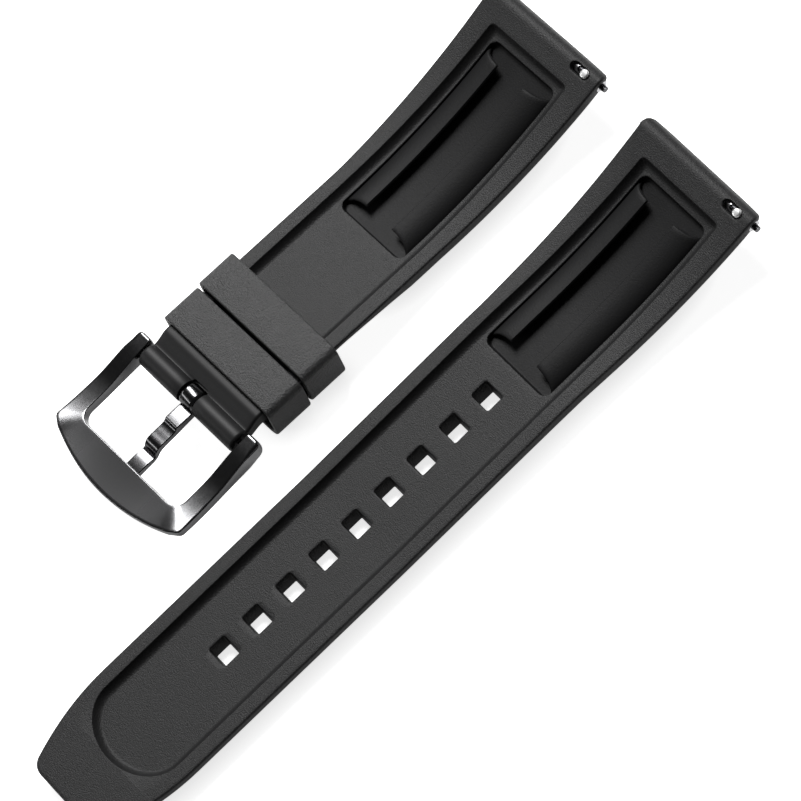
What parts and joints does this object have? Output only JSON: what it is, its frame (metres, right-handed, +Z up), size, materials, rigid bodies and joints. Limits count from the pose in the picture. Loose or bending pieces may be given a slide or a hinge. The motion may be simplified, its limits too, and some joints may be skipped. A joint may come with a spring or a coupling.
{
  "type": "rubber watch strap",
  "caption": "Two-piece rubber watch strap with a pin buckle, a fixed and a sliding keeper and quick-release spring bars, lying wrist side up.",
  "frame": {"origin": "centre of the strap's box at the surface it lies on", "axes": "+Y along the straps towards the watch end, +X across them from the buckle half to the holed half, +Z up out of the wrist side"},
  "size_m": [0.0534, 0.1183, 0.0091],
  "materials": {
    "strap_rubber": "fine matt moulded rubber",
    "keeper_rubber": "matt rubber with a sandy grain",
    "buckle_finish": "brushed black coated steel",
    "tongue_finish": "polished black coated steel",
    "bar_steel": "turned stainless steel",
    "lever_steel": "polished stainless steel",
    "spring_wire": "drawn spring wire"
  },
  "bodies": {
    "buckle_half": {"buckle_strap": "strap_rubber", "fixed_keeper": "keeper_rubber", "head_bar_tube": "bar_steel", "head_bar_fixed_tip": "bar_steel", "head_bar_spring": "spring_wire", "buckle_bar_tube": "bar_steel", "buckle_bar_spring": "spring_wire"},
    "head_release": {"head_bar_plunger": "bar_steel", "head_bar_lever": "lever_steel"},
    "sliding_keeper": {"free_keeper": "keeper_rubber"},
    "buckle": {"buckle_frame": "buckle_finish"},
    "tongue": {"buckle_tongue": "tongue_finish"},
    "bar_tip_left": {"buckle_bar_tip_left": "bar_steel"},
    "bar_tip_right": {"buckle_bar_tip_right": "bar_steel"},
    "tail_half": {"tail_strap": "strap_rubber", "tail_bar_tube": "bar_steel", "tail_bar_fixed_tip": "bar_steel", "tail_bar_spring": "spring_wire"},
    "tail_release": {"tail_bar_plunger": "bar_steel", "tail_bar_lever": "lever_steel"}
  },
  "joints": [
    {"name": "buckle_swing", "type": "hinge", "parent": "buckle_half", "child": "buckle", "pos_m": [-0.01339, -0.01022, 0.00622], "axis": [0.9997, 0.0262, 0], "range_deg": [-90, 40]},
    {"name": "tongue_swing", "type": "hinge", "parent": "buckle", "child": "tongue", "pos_m": [-0.01339, -0.01022, 0.00622], "axis": [0.9997, 0.0262, 0], "range_deg": [0, 50]},
    {"name": "keeper_slide", "type": "slide", "parent": "buckle_half", "child": "sliding_keeper", "axis": [-0.0262, 0.9997, 0], "range_m": [0, 0.011]},
    {"name": "tip_left_press", "type": "slide", "parent": "buckle_half", "child": "bar_tip_left", "axis": [0.9997, 0.0262, 0], "range_m": [0, 0.0009], "stiffness_N_per_m": 400, "deforming": ["buckle_bar_spring"]},
    {"name": "tip_right_press", "type": "slide", "parent": "buckle_half", "child": "bar_tip_right", "axis": [-0.9997, -0.0262, 0], "range_m": [0, 0.0009], "stiffness_N_per_m": 400},
    {"name": "head_release_slide", "type": "slide", "parent": "buckle_half", "child": "head_release", "axis": [-0.9997, -0.0262, 0], "range_m": [0, 0.0014], "stiffness_N_per_m": 500, "deforming": ["head_bar_spring"]},
    {"name": "tail_lift", "type": "slide", "parent": "buckle_half", "child": "tail_half", "axis": [0, 0, 1], "range_m": [0, 0.03]},
    {"name": "tail_release_slide", "type": "slide", "parent": "tail_half", "child": "tail_release", "axis": [-1, 0, 0], "range_m": [0, 0.0014], "stiffness_N_per_m": 500, "deforming": ["tail_bar_spring"]}
  ]
}
